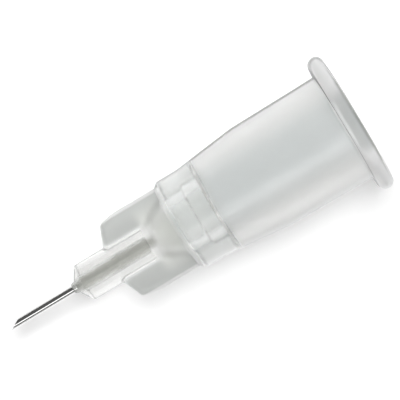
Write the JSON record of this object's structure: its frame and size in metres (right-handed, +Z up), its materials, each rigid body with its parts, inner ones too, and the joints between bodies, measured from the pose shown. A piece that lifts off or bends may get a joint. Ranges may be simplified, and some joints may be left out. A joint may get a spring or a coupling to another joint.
{
  "type": "mesotherapy needle",
  "caption": "Short hypodermic needle for skin injection: a translucent stepped hub with a six percent socket, lock lugs and side fins, and a fine steel tube with a ground point.",
  "frame": {"origin": "on the table, in the middle of the part's footprint as it lies at rest on the flat between its lock lugs and on its collar", "axes": "+X runs along the needle towards its point, +Z is up, and the needle's axis leans about 4.7 degrees down towards the point"},
  "size_m": [0.0212, 0.0078, 0.0067],
  "materials": {
    "hub_plastic": "translucent natural polypropylene, moulded with a soft gloss",
    "cannula_steel": "drawn stainless steel, bright and smooth, with a ground point",
    "clear_adhesive": "cured clear adhesive, glossy"
  },
  "bodies": {
    "root": {"hub": "hub_plastic", "cannula": "cannula_steel", "adhesive": "clear_adhesive"}
  },
  "joints": []
}
